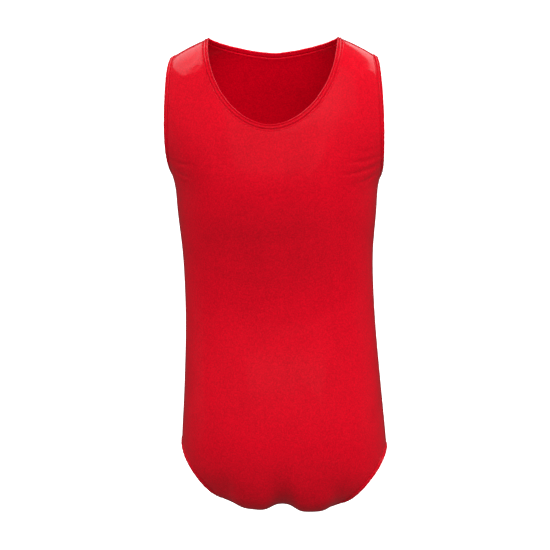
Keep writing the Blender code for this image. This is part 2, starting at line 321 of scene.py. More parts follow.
def column_angle(ring, share):
    """The angle of a column beside an armhole, given as its share of the way from the centre to the edge.
    The inner columns already widen towards the side seam, so that they don't bend sharply at its foot."""
    edge = edge_angle(ring)
    start = edge_angle(np.sign(ring) * SEAM_RING)
    inner = start + (seam_angle(ring) - start) * ease(np.abs(ring) / UNDERARM)
    return share * (inner + (edge - inner) * np.abs(share))


def top_edge(side):
    """Level and share at the top of each column, from one shoulder tip to the other."""
    level, angle = neck_cut(side, np.linspace(0.0, 1.0, SAMPLES))
    cut = evenly(FIGURE.point(side * level, angle), COLUMNS_NECK // 2)
    level, angle = neck_cut(side, cut)
    ring = side * np.maximum(level, SEAM_RING)
    share = halve_towards(np.ones_like(angle), lambda at: column_angle(ring, at) < angle)
    seam = np.linspace(1.0, share[0], COLUMNS_SHOULDER + 1)[:-1]
    levels = np.concatenate([np.zeros(COLUMNS_SHOULDER), level])
    shares = np.concatenate([seam, share])
    return np.concatenate([levels, levels[-2::-1]]), np.concatenate([-shares, shares[-2::-1]])


def edge_levels(side, start, end, count):
    """Levels that cut the side edge of a panel into pieces of one length."""
    levels = np.linspace(start, end, SAMPLES)
    share = evenly(FIGURE.point(side * levels, edge_angle(side * levels)), count)
    return start + (end - start) * share


def bottom_edge(side):
    """Level and angle at the foot of each column: along one leg opening, the crotch and the other leg."""
    level = edge_levels(side, LEG_TOP, 1.0 - SEAM_RING, COLUMNS_LEG)
    angle = edge_angle(side * level)
    crotch = np.linspace(-angle[-1], angle[-1], COLUMNS_CROTCH + 1)[1:-1]
    levels = np.concatenate([level, np.full_like(crotch, level[-1]), level[::-1]])
    return levels, np.concatenate([-angle, crotch, angle[::-1]])


def panel_grid(side):
    """Ring and angle of each point of a panel, rows from the top edge to the bottom edge, columns from left
    to right. The columns start evenly spaced along the top edge, have spread out by the underarm, and
    close up again to end evenly spaced along the leg openings and the crotch."""
    top_level, top_share = top_edge(side)
    bottom_level, bottom_angle = bottom_edge(side)
    corner = np.linspace(CORNER_SPREAD, 1.0, COLUMNS_SHOULDER + 1)[1:]
    middle = np.linspace(-CORNER_SPREAD, CORNER_SPREAD, COLUMNS_NECK + 1)
    spread = np.concatenate([-corner[::-1], middle, corner])

    level = edge_levels(side, SEAM_RING, UNDERARM, ROWS_ARMHOLE)[:, None]
    hold = 1.0 - (level - SEAM_RING) / (UNDERARM - SEAM_RING)
    ring_above = side * (level + top_level * hold**NECK_FADE)
    angle_above = column_angle(ring_above, top_share * hold**2 + spread * (1.0 - hold**2))

    down = np.linspace(0.0, 1.0, ROWS_BODY + 1)[1:, None]
    fall = down + ROWS_CLOSING * down * (1.0 - down)
    ring_below = side * (UNDERARM + (bottom_level - UNDERARM) * fall)
    angle_below = spread * seam_angle(ring_below) * (1.0 - down**2) + bottom_angle * down**2

    angle = np.concatenate([angle_above, angle_below])
    return np.concatenate([ring_above, ring_below]), angle + SLIDE * np.cos(angle)


# A band's profile: distance from the panel's edge and height over the middle of the cloth, in millimetres.
# It has two hollows under the stitches, a ridge between them and a rolled rim.
BAND_PROFILE = (
    (-1.6, 0.40),
    (0.0, 0.50),
    (0.7, 0.34),
    (1.5, 0.95),
    (2.5, 1.25),
    (3.5, 1.02),
    (4.1, 0.40),
    (4.7, 1.05),
    (5.4, 1.22),
    (5.95, 0.70),
    (6.05, -0.25),
    (5.5, -0.95),
    (4.3, -1.02),
    (2.8, -1.05),
    (1.2, -0.92),
    (0.0, -0.66),
    (-1.6, -0.40),
)
PROFILE_POINTS = 44
BAND_STEP = 0.75 * MM

# How far either way the direction of an edge or seam is read, and how far an edge's corners are eased
LINE_STEP = 1.2 * MM
CORNER_EASE = 3.1 * MM

# The two needle lines: where they are, how far round them and how deep the thread pulls the cloth in, and
# what is left of that pull halfway between two holes
NEEDLES = (0.7 * MM, 4.1 * MM)
NEEDLE_REACH = 0.45 * MM
NEEDLE_PULL = 0.26 * MM
PULL_BETWEEN = 0.35

# Uneven waves. Two slow sines make them drift: how far, in radians, and their pitch over the wave's own.
# The band ripples at one pitch, and its rim goes in and out a little at another.
DRIFTS = ((1.7, 4.3), (0.9, 2.7))
RIPPLE_PITCH = 8.1 * MM
RIM_PITCH = 23.0 * MM
RIM_WANDER = 0.10 * MM

# Stitches: the share of the pitch that shows, the thread's radius and what is left of it at the ends, how
# deep the ends lie in the cloth, and how high and how bluntly the middle arches
STITCH_FILL = 0.74
THREAD_RADIUS = 0.19 * MM
THREAD_END = 0.45
THREAD_DEPTH = 0.26 * MM
THREAD_ARCH = 0.34 * MM
ARCH_POWER = 0.6
THREAD_SIDES = 6
THREAD_RINGS = 7

# Seam allowances on the inside: half their width, their thickness, how far below the cloth's inside their
# middle lies and how boxy they are. Then the overlock loops: pitch, mesh rings to a loop, how far they
# swell the allowance's thickness, and how much of that swell its width gets.
ALLOWANCE = 2.6 * MM
ALLOWANCE_THICK = 0.9 * MM
ALLOWANCE_DEPTH = 0.75 * MM
ALLOWANCE_POWER = 0.7
ALLOWANCE_SIDES = 12
LOOP_PITCH = 2.0 * MM
LOOP_RINGS = 4
LOOP_SWELL = 0.22
LOOP_WIDENING = 0.1

# Creases on the back (side 1) or the front (side -1). x is to the wearer's right and z is up on both. turn
# is the angle of the crease's line, in degrees from x towards z, and the rest is in millimetres. A negative
# height is a trough. bend is how far its ends curve away from its line.
CREASE_COLUMNS = ("side", "x", "z", "turn", "length", "width", "height", "bend")
CREASES = (
    (1, 101.0, -117.0, 4.0, 13.0, 2.4, -0.45, 2.0),
    (1, 98.0, -127.0, 9.0, 17.0, 2.7, -0.75, 2.0),
    (1, 96.0, -138.0, 14.0, 19.0, 2.9, -0.85, 2.0),
    (1, 98.0, -149.0, 21.0, 16.0, 2.5, -0.60, 3.0),
    (1, -98.0, -131.0, -10.0, 15.0, 2.6, -0.55, 2.0),
    (1, -99.0, -143.0, -18.0, 12.0, 2.4, -0.45, 2.0),
    (1, -50.0, -494.0, -22.0, 14.0, 12.0, 2.20, 0.0),
    (1, 60.0, -492.0, 20.0, 10.0, 12.0, 0.80, 0.0),
    (1, 9.5, -470.0, 88.0, 7.0, 1.6, -0.55, 0.0),
    (1, 13.5, -473.0, 92.0, 8.5, 1.4, -0.45, 0.0),
    (1, 17.5, -469.0, 96.0, 6.0, 1.6, -0.45, 0.0),
    (1, 4.0, -213.0, 6.0, 60.0, 13.0, -0.50, 10.0),
    (1, -34.0, -247.0, -12.0, 48.0, 11.0, 0.40, 8.0),
    (1, 38.0, -298.0, 15.0, 44.0, 12.0, -0.40, 9.0),
    (1, -48.0, -352.0, 62.0, 46.0, 10.0, 0.35, 6.0),
    (1, 55.0, -392.0, 112.0, 40.0, 11.0, 0.35, 5.0),
    (1, 52.0, -122.0, 74.0, 32.0, 8.0, 0.40, 4.0),
    (1, -60.0, -112.0, 102.0, 28.0, 8.5, -0.35, 4.0),
    (1, -88.0, -24.0, 38.0, 13.0, 3.6, -0.45, 3.0),
    (1, -84.0, -37.0, 22.0, 15.0, 4.2, 0.40, 2.0),
    (1, 91.0, -31.0, 112.0, 12.0, 3.8, -0.40, 2.0),
    (1, 11.5, -102.0, 72.0, 4.5, 1.3, -0.35, 0.0),
    (1, 15.5, -102.5, 63.0, 4.5, 1.3, -0.35, 0.0),
    (1, 19.5, -101.0, 55.0, 4.0, 1.3, -0.30, 0.0),
    (-1, 99.0, -128.0, 10.0, 16.0, 2.6, -0.65, 2.0),
    (-1, 98.0, -140.0, 17.0, 14.0, 2.5, -0.60, 2.0),
    (-1, -99.0, -131.0, -12.0, 15.0, 2.6, -0.60, 2.0),
    (-1, -98.0, -145.0, -19.0, 12.0, 2.4, -0.50, 2.0),
    (-1, 10.0, -233.0, -8.0, 55.0, 12.0, -0.50, 9.0),
    (-1, -27.0, -288.0, 14.0, 46.0, 11.0, 0.40, 8.0),
    (-1, 44.0, -372.0, 70.0, 40.0, 10.0, 0.35, 5.0),
    (-1, 21.0, -458.0, 82.0, 13.0, 2.6, -0.50, 2.0),
    (-1, -13.0, -463.0, 97.0, 11.0, 2.4, -0.45, 2.0),
    (-1, 4.0, -450.0, 90.0, 15.0, 2.8, 0.40, 2.0),
    (-1, -58.0, -66.0, 60.0, 22.0, 6.0, 0.35, 3.0),
    (-1, 63.0, -72.0, 118.0, 20.0, 6.0, -0.35, 3.0),
)

# Hollows and gathers along stitched lines: depth of the hollow, its reach, depth of the gathers, their
# reach and their usual pitch. They end at NEAR_ENOUGH, and CHUNK points are measured at a time.
LINE_COLUMNS = ("hollow", "hollow_reach", "gather", "gather_reach", "pitch")
EDGE_LINE = (0.38 * MM, 1.4 * MM, 0.24 * MM, 5.0 * MM, 7.3 * MM)
SEAM_LINE = (0.50 * MM, 1.1 * MM, 0.16 * MM, 4.0 * MM, 9.1 * MM)
NEAR_ENOUGH = 20.0 * MM
CHUNK = 4000

# The cut of each panel before it is stretched over a body: the sides of the rectangle of cloth that it
# comes from, and its own area, in metres
BACK_CUT, BACK_AREA = (0.34, 0.51), 0.122
FRONT_CUT, FRONT_AREA = (0.31, 0.53), 0.120

# Knit: noises by their number to the metre, how strongly each tints the cloth, and the darkest and palest
# shade. Then its roughness, the share of the wales in its relief, and its gloss.
GRAIN_SCALE, GRAIN_CONTRAST = 620.0, 2.6
CLOUD_SCALE, CLOUD_CONTRAST = 26.0, 0.7
WALE_SCALES, WALE_CONTRAST = (1500.0, 420.0, 1.0), 0.9
KNIT_DETAIL = 3.0
KNIT_SHADES = (0.80, 1.16)
KNIT_ROUGHNESS_SPREAD = 0.30
WALE_SHARE = 0.6
KNIT_RELIEF = 0.25 * MM
KNIT_SPECULAR = 0.05
GLOSS_ROUGHNESS, GLOSS_IOR = 0.12, 1.5
CLOTH_BUMP, BAND_BUMP = 0.22, 0.30
BAND_GLOSS = 0.9

# Thread
TWIST_SCALE = 3200.0
TWIST_BUMP, TWIST_RELIEF = 0.3, 0.05 * MM
# The thread's colour is the cloth's times these shares: the darkening is painted shade of the pits that the
# stitches sink into, and the spread between them is random tone from the twist.
THREAD_PAINTED_SHADES = (0.50, 0.85)
THREAD_ROUGHNESS, THREAD_ROUGHNESS_SPREAD = 0.45, 0.2
THREAD_SPECULAR = 0.25

# The studio and the camera
CAMERA_AZIMUTH = math.radians(2.5)
CAMERA_ELEVATION = math.radians(8.0)
CAMERA_DISTANCE = 2.4
CAMERA_TARGET = Vector((0.0, 0.0, -0.258))
CAMERA_LENS = 143.2
SENSOR = 36.0
FLOOR_HEIGHT = -1.08
FLOOR_REACH = 400.0

# The floor's grey as the camera sees it, as it lights the cloth and as the gloss mirrors it, its glow to
# the camera and its roughness. Then the strength of the white all round, and of its image in the gloss.
FLOOR_SEEN, FLOOR_BOUNCE, FLOOR_MIRRORED = 0.80, 0.24, 0.04
FLOOR_GLOW = 0.9
FLOOR_ROUGHNESS = 0.9
FILL, GLOSS_FILL = 1.0, 0.006


# Lines and relief


class Line:
    """A line of points with a normal at each, read at any distance along it. A closed line is smoothed a
    little, so that a sewn edge goes round its corners."""

    def __init__(self, points, out, closed):
        self.closed = closed
        if closed:
            step = np.linalg.norm(points - np.roll(points, 1, axis=0), axis=1).mean()
            points, out = self.eased(points, step), self.eased(out, step)
            points, out = np.concatenate([points, points[:1]]), np.concatenate([out, out[:1]])
        self.along = distances(points)
        self.length = self.along[-1]
        self.points, self.out = points, unit(out)

    @staticmethod
    def eased(values, step):
        """Each value with its neighbours a step apart, weighted by a bell curve CORNER_EASE wide."""
        count = len(values)
        offset = np.minimum(np.arange(count), count - np.arange(count)) * step
        bell = np.exp(-0.5 * (offset / CORNER_EASE) ** 2)
        bell /= bell.sum()
        return np.real(np.fft.ifft(np.fft.fft(values, axis=0) * np.fft.fft(bell)[:, None], axis=0))

    def read(self, distance, table):
        if self.closed:
            distance = np.mod(distance, self.length)
        return np.stack([np.interp(distance, self.along, column) for column in table.T], axis=-1)

    def frame_at(self, distance):
        """Point, direction to the left of the line in the cloth, and direction out."""
        here = self.read(distance, self.points)
        if self.closed:
            ahead = self.read(distance + LINE_STEP, self.points)
            behind = self.read(distance - LINE_STEP, self.points)
            near = 0.5 * here + 0.25 * (ahead + behind)
        else:
            ahead = self.read(np.minimum(distance + LINE_STEP, self.length), self.points)
            behind = self.read(np.maximum(distance - LINE_STEP, 0.0), self.points)
            near = here
        along = unit(ahead - behind)
        out = self.read(distance, self.out)
        left = unit(np.cross(out, along))
        return near, left, np.cross(along, left)


def wave(distance, pitch):
    """An uneven wave: its crests are a pitch apart on average, and drift to and fro along the line."""
    turn = 2.0 * np.pi * distance / pitch
    return np.sin(turn + sum(reach * np.sin(turn / slower) for reach, slower in DRIFTS))


def nearest(points, line):
    """Distance from each point to the closest point of a line, and how far along the line that is."""
    gap, where = [], []
    weight = (line.points**2).sum(axis=1)
    for start in range(0, len(points), CHUNK):
        some = points[start : start + CHUNK]
        square = (some**2).sum(axis=1)[:, None] + weight - 2.0 * some @ line.points.T
        close = square.argmin(axis=1)
        gap.append(np.sqrt(np.maximum(square[np.arange(len(some)), close], 0.0)))
        where.append(line.along[close])
    return np.concatenate(gap), np.concatenate(where)


def line_relief(points, line, sizes):
    """A hollow on the line, exp(-(gap / reach) squared) deep, and gathers that run away from it."""
    size = dict(zip(LINE_COLUMNS, sizes))
    gap, where = nearest(points, line)
    hollow = size["hollow"] * np.exp(-((gap / size["hollow_reach"]) ** 2))
    ripple = 0.5 + 0.5 * wave(where, size["pitch"])
    gather = size["gather"] * ripple * np.exp(-((gap / size["gather_reach"]) ** 2))
    return np.where(gap < NEAR_ENOUGH, -hollow - gather, 0.0)


def crease_relief(points, side, strength):
    """Soft troughs and ridges. Across its line, each has the profile (1 - w squared) exp(-w squared), which
    raises a low ridge on each side of a trough, and it fades as exp(-l cubed) along its line."""
    total = np.zeros(len(points))
    for row in CREASES:
        crease = dict(zip(CREASE_COLUMNS, row))
        if crease["side"] != side:
            continue
        turn = math.radians(crease["turn"])
        right, up = points[:, 0] - crease["x"] * MM, points[:, 2] - crease["z"] * MM
        along = (right * math.cos(turn) + up * math.sin(turn)) / (crease["length"] * MM)
        across = up * math.cos(turn) - right * math.sin(turn) - crease["bend"] * MM * along**2
        w = across / (crease["width"] * MM)
        total += crease["height"] * MM * (1.0 - w**2) * np.exp(-(w**2) - np.abs(along) ** 3)
    return strength * total


def closed_edge(back, front):
    """The line of an edge that runs along the back panel and returns along the front, with a single point
    in each of the two seams that it crosses."""
    closed = []
    for of in (FIGURE.point, FIGURE.normal):
        there, again = of(*back), of(*front)
        first, last = 0.5 * (there[0] + again[-1]), 0.5 * (there[-1] + again[0])
        closed.append(np.concatenate([[first], there[1:-1], [last], again[1:-1]]))
    return Line(*closed, closed=True)


def all_edges(back, front):
    """The five edges by name. Each has its hole on the left of its direction."""
    neck = slice(COLUMNS_SHOULDER, COLUMNS_SHOULDER + COLUMNS_NECK + 1)
    armhole = slice(0, ROWS_ARMHOLE + 1)
    left_leg, right_leg = slice(0, COLUMNS_LEG + 1), slice(None, -COLUMNS_LEG - 2, -1)
    edges = {}
    for name, edge, turned in (
        ("neck", (0, neck), False),
        ("armhole_left", (armhole, 0), True),
        ("armhole_right", (armhole, -1), False),
        ("leg_left", (-1, left_leg), True),
        ("leg_right", (-1, right_leg), False),
    ):
        there, again = [grid[edge] for grid in back], [grid[edge][::-1] for grid in front]
        if turned:
            there, again = [grid[::-1] for grid in there], [grid[::-1] for grid in again]
        edges[name] = closed_edge(there, again)
    return edges


def all_seams(back, front):
    """The five seams by name, each midway between the edges of the two panels that it joins."""
    rows = slice(ROWS_ARMHOLE, None)
    crotch = slice(COLUMNS_LEG, -COLUMNS_LEG)
    seams = {}
    for name, edge in (
        ("shoulder_left", (0, slice(0, COLUMNS_SHOULDER + 1))),
        ("shoulder_right", (0, slice(-COLUMNS_SHOULDER - 1, None))),
        ("side_left", (rows, 0)),
        ("side_right", (rows, -1)),
        ("crotch", (-1, crotch)),
    ):
        sides = [[grid[edge] for grid in panel] for panel in (back, front)]
        points, normals = ([of(*side) for side in sides] for of in (FIGURE.point, FIGURE.normal))
        seams[name] = Line(0.5 * (points[0] + points[1]), unit(normals[0] + normals[1]), closed=False)
    return seams


# Meshes


def new_piece(name, points, faces, material, uv=None):
    """A smooth object at the origin from an array of points and a list of arrays of faces."""
    mesh = bpy.data.meshes.new(name)
    corners = np.concatenate([part.ravel() for part in faces])
    sizes = np.concatenate([np.full(len(part), part.shape[1]) for part in faces])
    mesh.vertices.add(len(points))
    mesh.loops.add(len(corners))
    mesh.polygons.add(len(sizes))
    mesh.vertices.foreach_set("co", points.astype(np.float32).ravel())
    mesh.loops.foreach_set("vertex_index", corners.astype(np.int32))
    mesh.polygons.foreach_set("loop_start", np.append(0, np.cumsum(sizes)[:-1]).astype(np.int32))
    mesh.polygons.foreach_set("loop_total", sizes.astype(np.int32))
    mesh.update(calc_edges=True)
    if uv is not None:
        layer = mesh.uv_layers.new(name="cloth")
        layer.data.foreach_set("uv", uv[corners].astype(np.float32).ravel())
    mesh.shade_smooth()
    mesh.materials.append(material)
    piece = bpy.data.objects.new(name, mesh)
    bpy.context.scene.collection.objects.link(piece)
    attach(piece, BODY)
    return piece


def grid_faces(rows, columns, across=False, down=False):
    """Squares of a grid of points. across and down join its last column or row to the first."""
    number = np.arange(rows * columns).reshape(rows, columns)
    if across:
        number = np.concatenate([number, number[:, :1]], axis=1)
    if down:
        number = np.concatenate([number, number[:1]])
    square = np.stack([number[:-1, :-1], number[1:, :-1], number[1:, 1:], number[:-1, 1:]], axis=-1)
    return square.reshape(-1, 4)


def make_panel(name, side, lines, settings, material):
    """A wall of cloth on the figure's surface, moved out by its creases and in at its stitched lines."""
    ring, angle = panel_grid(side)
    rows, columns = ring.shape
    total = rows * columns
    middle, out = FIGURE.point(ring, angle).reshape(-1, 3), FIGURE.normal(ring, angle).reshape(-1, 3)
    lift = crease_relief(middle, side, settings.crease_strength)
    for line, sizes in lines:
        lift += line_relief(middle, line, sizes)
    middle = middle + lift[:, None] * out
    points = np.concatenate([middle + 0.5 * CLOTH * out, middle - 0.5 * CLOTH * out])
    grid = middle.reshape(rows, columns, 3)
    wide = np.cumsum(np.linalg.norm(np.diff(grid, axis=1, prepend=grid[:, :1]), axis=-1), axis=1)
    wide -= wide[:, columns // 2, None]
    deep = np.cumsum(np.linalg.norm(np.diff(grid, axis=0, prepend=grid[:1]), axis=-1), axis=0)
    uv = np.tile(np.stack([wide.ravel(), -deep.ravel()], axis=1), (2, 1))
    outer = grid_faces(rows, columns)
    number = np.arange(total).reshape(rows, columns)
    rim = np.concatenate([number[0, :-1], number[:-1, -1], number[-1, :0:-1], number[:0:-1, 0]])
    after = np.roll(rim, -1)
    strip = np.stack([rim, after, after + total, rim + total], axis=1)
    faces = [outer, outer[:, ::-1] + total, strip]
    if side < 0:
        faces = [part[:, ::-1] for part in faces]
    return new_piece(name, points, faces, material, uv)


def profile_curve():
    """The band's profile at PROFILE_POINTS places, evenly spaced along its outline, in metres."""
    table = np.array(BAND_PROFILE) * MM
    table = np.concatenate([table, table[:1]])
    along = distances(table)
    curves = [periodic_spline(along[:-1], table[:-1, k], along[-1]) for k in (0, 1)]
    place = np.linspace(0.0, along[-1], PROFILE_POINTS, endpoint=False)
    return np.stack([curve(place) for curve in curves], axis=1), place


def needle_pull(across, distance, pitch):
    """How far the thread pulls the cloth in: most in the middle of each needle line's hollow, and at each
    hole where a stitch goes down."""
    hole = 0.5 + 0.5 * np.cos(2.0 * np.pi * distance / pitch)
    pull = sum(np.exp(-(((across - needle) / NEEDLE_REACH) ** 2)) for needle in NEEDLES)
    return NEEDLE_PULL * pull * (PULL_BETWEEN + (1.0 - PULL_BETWEEN) * hole**2)


def make_band(name, node, line, pitch, gather, material):
    """A folded edge: the profile carried along the edge, with a rim that is not quite even."""
    count = int(round(line.length / BAND_STEP))
    distance = np.linspace(0.0, line.length, count, endpoint=False)[:, None]
    profile, place = profile_curve()
    across, height = profile[:, 0][None, :], profile[:, 1][None, :]
    point, left, out = line.frame_at(distance[:, 0])
    shown = np.clip(across / BAND_WIDTH, 0.0, 1.0)
    wide = across + RIM_WANDER * shown * wave(distance, RIM_PITCH)
    high = height - np.sign(height) * needle_pull(across, distance, pitch)
    high = high + gather * shown * wave(distance, RIPPLE_PITCH)
    points = point[:, None] + wide[..., None] * left[:, None] + high[..., None] * out[:, None]
    uv = np.stack(np.broadcast_arrays(distance, place[None, :]), axis=-1).reshape(-1, 2)
    faces = [grid_faces(count, len(place), across=True, down=True)]
    piece = new_piece(name, points.reshape(-1, 3), faces, material, uv)
    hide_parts(node)
    return piece


def make_stitches(name, line, pitch, gather, material):
    """Two rows of stitches. Each stitch is a thin thread that rises from the cloth and goes down again."""
    count = int(round(line.length / pitch))
    start = np.arange(count) * line.length / count
    share = np.linspace(0.0, 1.0, THREAD_RINGS)
    turn = np.linspace(0.0, 2.0 * np.pi, THREAD_SIDES, endpoint=False)
    profile, _ = profile_curve()
    outer = profile[: PROFILE_POINTS // 2]
    outer = outer[np.argsort(outer[:, 0])]
    distance = (start[:, None] + (0.5 * (1.0 - STITCH_FILL) + STITCH_FILL * share) * pitch).ravel()
    point, left, out = line.frame_at(distance)
    arch = np.tile(np.sin(np.pi * share), count)
    radius = THREAD_RADIUS * (THREAD_END + (1.0 - THREAD_END) * np.sqrt(arch))
    points = []
    for needle in NEEDLES:
        ends = np.interp(needle, outer[:, 0], outer[:, 1]) - THREAD_DEPTH
        ripple = gather * needle / BAND_WIDTH * wave(distance, RIPPLE_PITCH)
        height = ends + THREAD_ARCH * arch**ARCH_POWER + ripple
        centre = point + needle * left + height[:, None] * out
        round_it = np.cos(turn)[:, None] * left[:, None] + np.sin(turn)[:, None] * out[:, None]
        points.append((centre[:, None] + radius[:, None, None] * round_it).reshape(-1, 3))
    points = np.concatenate(points)
    one = grid_faces(THREAD_RINGS, THREAD_SIDES, across=True)
    each = THREAD_RINGS * THREAD_SIDES
    first = np.arange(2 * count)[:, None, None] * each
    sides = (one[None] + first).reshape(-1, 4)
    near = np.arange(THREAD_SIDES)[None, :] + first[:, 0]
    far = near[:, ::-1] + each - THREAD_SIDES
    return new_piece(name, points, [sides, near, far], material)


def make_allowance(name, line, material):
    """The trimmed and overlocked edges of two panels, folded flat on the inside of their seam: a flattened
    tube whose thickness rises and falls with the loops of thread."""
    count = int(round(LOOP_RINGS * line.length / LOOP_PITCH))
    distance = np.linspace(0.0, line.length, count)
    point, left, out = line.frame_at(distance)
    turn = np.linspace(0.0, 2.0 * np.pi, ALLOWANCE_SIDES, endpoint=False)[None, :]
    loop = LOOP_SWELL * np.sin(2.0 * np.pi * distance / LOOP_PITCH)[:, None]
    boxy = np.sign(np.cos(turn)) * np.abs(np.cos(turn)) ** ALLOWANCE_POWER
    across = ALLOWANCE * boxy * (1.0 + LOOP_WIDENING * loop)
    high = 0.5 * ALLOWANCE_THICK * np.sin(turn) * (1.0 + loop) - 0.5 * CLOTH - ALLOWANCE_DEPTH
    points = point[:, None] + across[..., None] * left[:, None] + high[..., None] * out[:, None]
    number = np.arange(count * ALLOWANCE_SIDES).reshape(count, ALLOWANCE_SIDES)
    faces = [grid_faces(count, ALLOWANCE_SIDES, across=True), number[:1], number[-1:, ::-1]]
    uv = np.stack(np.broadcast_arrays(distance[:, None], ALLOWANCE * turn), axis=-1).reshape(-1, 2)
    return new_piece(name, points.reshape(-1, 3), faces, material, uv)


# Finishes


class Wire:
    """A number that a shader works out, or the socket it comes from, on which sums can be written."""

    def __init__(self, shader, socket):
        self.shader, self.socket = shader, socket

    def sum_with(self, operation, *values):
        return self.shader.node("ShaderNodeMath", {"operation": operation}, dict(enumerate(values)))

    def __add__(self, other):
        return self.sum_with("ADD", self, other)

    __radd__ = __add__

    def __sub__(self, other):
        return self.sum_with("SUBTRACT", self, other)

    def __rsub__(self, other):
        return self.sum_with("SUBTRACT", other, self)

    def __mul__(self, other):
        return self.sum_with("MULTIPLY", self, other)

    __rmul__ = __mul__


class Shader:
    """The nodes of a new material, or of a world."""

    def __init__(self, holder, surface="Principled BSDF"):
        holder.use_nodes = True
        self.holder = holder
        self.nodes, self.links = holder.node_tree.nodes, holder.node_tree.links
        self.surface = self.nodes[surface]

    def node(self, kind, settings, values, output=0):
        """Adds a node, sets what it is told, then its sockets' values or links, and gives its output."""
        node = self.nodes.new(kind)
        for key, value in settings.items():
            setattr(node, key, value)
        for key, value in values.items():
            self.feed(node.inputs[key], value)
        return Wire(self, node.outputs[output])

    def feed(self, socket, value):
        if isinstance(value, Wire):
            self.links.new(value.socket, socket)
        else:
            socket.default_value = value

    def set(self, **values):
        """Sets sockets of the surface, each named in small letters with underscores."""
        for key, value in values.items():
            self.feed(self.surface.inputs[key.replace("_", " ").title().replace("Ior", "IOR")], value)

    def noise(self, where, scale, detail=2.0):
        """Soft random values around a half, scale of them to the metre."""
        return self.node("ShaderNodeTexNoise", {}, {"Vector": where, "Scale": scale, "Detail": detail})

    def stretched(self, where, sizes):
        """A place measured in units of its own along each direction."""
        return self.node("ShaderNodeMapping", {}, {"Vector": where, "Scale": sizes})

    def mixed(self, share, one, other):
        """A colour between two. A Mix node has its factor first, and its two colours as sockets 6 and 7."""
        return self.node("ShaderNodeMix", {"data_type": "RGBA"}, {0: share, 6: one, 7: other}, output=2)

    def between(self, share, colour, shades):
        """The colour between two shades of it, given as what its channels are multiplied by."""
        return self.mixed(share, *[(*(channel * shade for channel in colour[:3]), 1.0) for shade in shades])


def grey(value):
    return (value, value, value, 1.0)


def knit_material(name, settings, wale_bump, gloss):
    """Satin warp knit: cloudy and grainy colour, fine wales that run down the cloth, and a soft gloss."""
    knit = Shader(bpy.data.materials.new(name))
    cloth = knit.node("ShaderNodeUVMap", {"uv_map": "cloth"}, {})
    place = knit.node("ShaderNodeTexCoord", {}, {}, output="Object")
    grain = knit.noise(place, GRAIN_SCALE, KNIT_DETAIL)
    cloud = knit.noise(place, CLOUD_SCALE, KNIT_DETAIL)
    wales = knit.noise(knit.stretched(cloth, WALE_SCALES), 1.0)
    shade = 0.5 + (grain - 0.5) * (GRAIN_CONTRAST * settings.grain)
    shade = shade + (cloud - 0.5) * CLOUD_CONTRAST + (wales - 0.5) * WALE_CONTRAST
    knit.set(base_color=knit.between(shade, settings.cloth_colour, KNIT_SHADES))
    knit.set(roughness=settings.roughness + (grain - 0.5) * KNIT_ROUGHNESS_SPREAD)
    height = wales * WALE_SHARE + grain * (1.0 - WALE_SHARE)
    bump = {"Strength": wale_bump, "Distance": KNIT_RELIEF, "Height": height}
    knit.set(normal=knit.node("ShaderNodeBump", {}, bump))
    knit.set(specular_ior_level=KNIT_SPECULAR)
    knit.set(coat_weight=gloss, coat_roughness=GLOSS_ROUGHNESS, coat_ior=GLOSS_IOR)
    return knit.holder


def thread_material(name, settings):
    """Twisted thread: duller than the cloth, with a fine bump. Its colour is the cloth's, darkened as
    painted shade of the stitch pits, and it varies at random with the twist.
    """
    thread = Shader(bpy.data.materials.new(name))
    place = thread.node("ShaderNodeTexCoord", {}, {}, output="Object")
    twist = thread.noise(place, TWIST_SCALE)
    # Painted shade: the thread is darker than the cloth to stand for the shade in the stitch pits, varied at
    # random by the twist.
    thread.set(base_color=thread.between(twist, settings.cloth_colour, THREAD_PAINTED_SHADES))
    thread.set(roughness=THREAD_ROUGHNESS + THREAD_ROUGHNESS_SPREAD * twist)
    bump = {"Strength": TWIST_BUMP, "Distance": TWIST_RELIEF, "Height": twist}
    thread.set(normal=thread.node("ShaderNodeBump", {}, bump))
    thread.set(specular_ior_level=THREAD_SPECULAR)
    return thread.holder


# The add-on


class LeotardSettings(bpy.types.PropertyGroup):
    cloth_colour: bpy.props.FloatVectorProperty(
        name="Cloth colour",
        description="Colour of the knit",
        subtype="COLOR",
        size=4,
        min=0.0,
        max=1.0,
        default=(0.60, 0.0, 0.0105, 1.0),
    )
    roughness: bpy.props.FloatProperty(
        name="Roughness", description="How dull the knit is under its gloss", default=0.48, min=0.05, max=1.0
    )
    gloss: bpy.props.FloatProperty(
        name="Gloss", description="Strength of the satin gloss", default=0.75, min=0.0, max=1.0
    )
    grain: bpy.props.FloatProperty(
        name="Grain", description="Strength of the mottled grain of the knit", default=1.0, min=0.0, max=3.0
    )
    crease_strength: bpy.props.FloatProperty(
        name="Creases", description="How high the creases stand", default=1.0, min=0.0, max=2.0
    )
    stitch_pitch: bpy.props.FloatProperty(
        name="Stitch pitch",
        description="Length of one stitch",
        default=3.0 * MM,
        min=MM,
        max=6.0 * MM,
        unit="LENGTH",
    )
    gather: bpy.props.FloatProperty(
        name="Band ripple",
        description="How far the elastic ripples the bands",
        default=0.12 * MM,
        min=0.0,
        max=MM,
        unit="LENGTH",
    )


def settings_of(context):
    return context.scene.leotard


def finish_named(name, make, *values):
    """The material of that name, made when it is first asked for."""
    return bpy.data.materials.get(name) or make(name, *values)


def cloth_finish(settings):
    return finish_named("satin_knit", knit_material, settings, CLOTH_BUMP, settings.gloss)


def band_finish(settings):
    return finish_named("folded_knit", knit_material, settings, BAND_BUMP, BAND_GLOSS * settings.gloss)


def thread_finish(settings):
    return finish_named("red_thread", thread_material, settings)


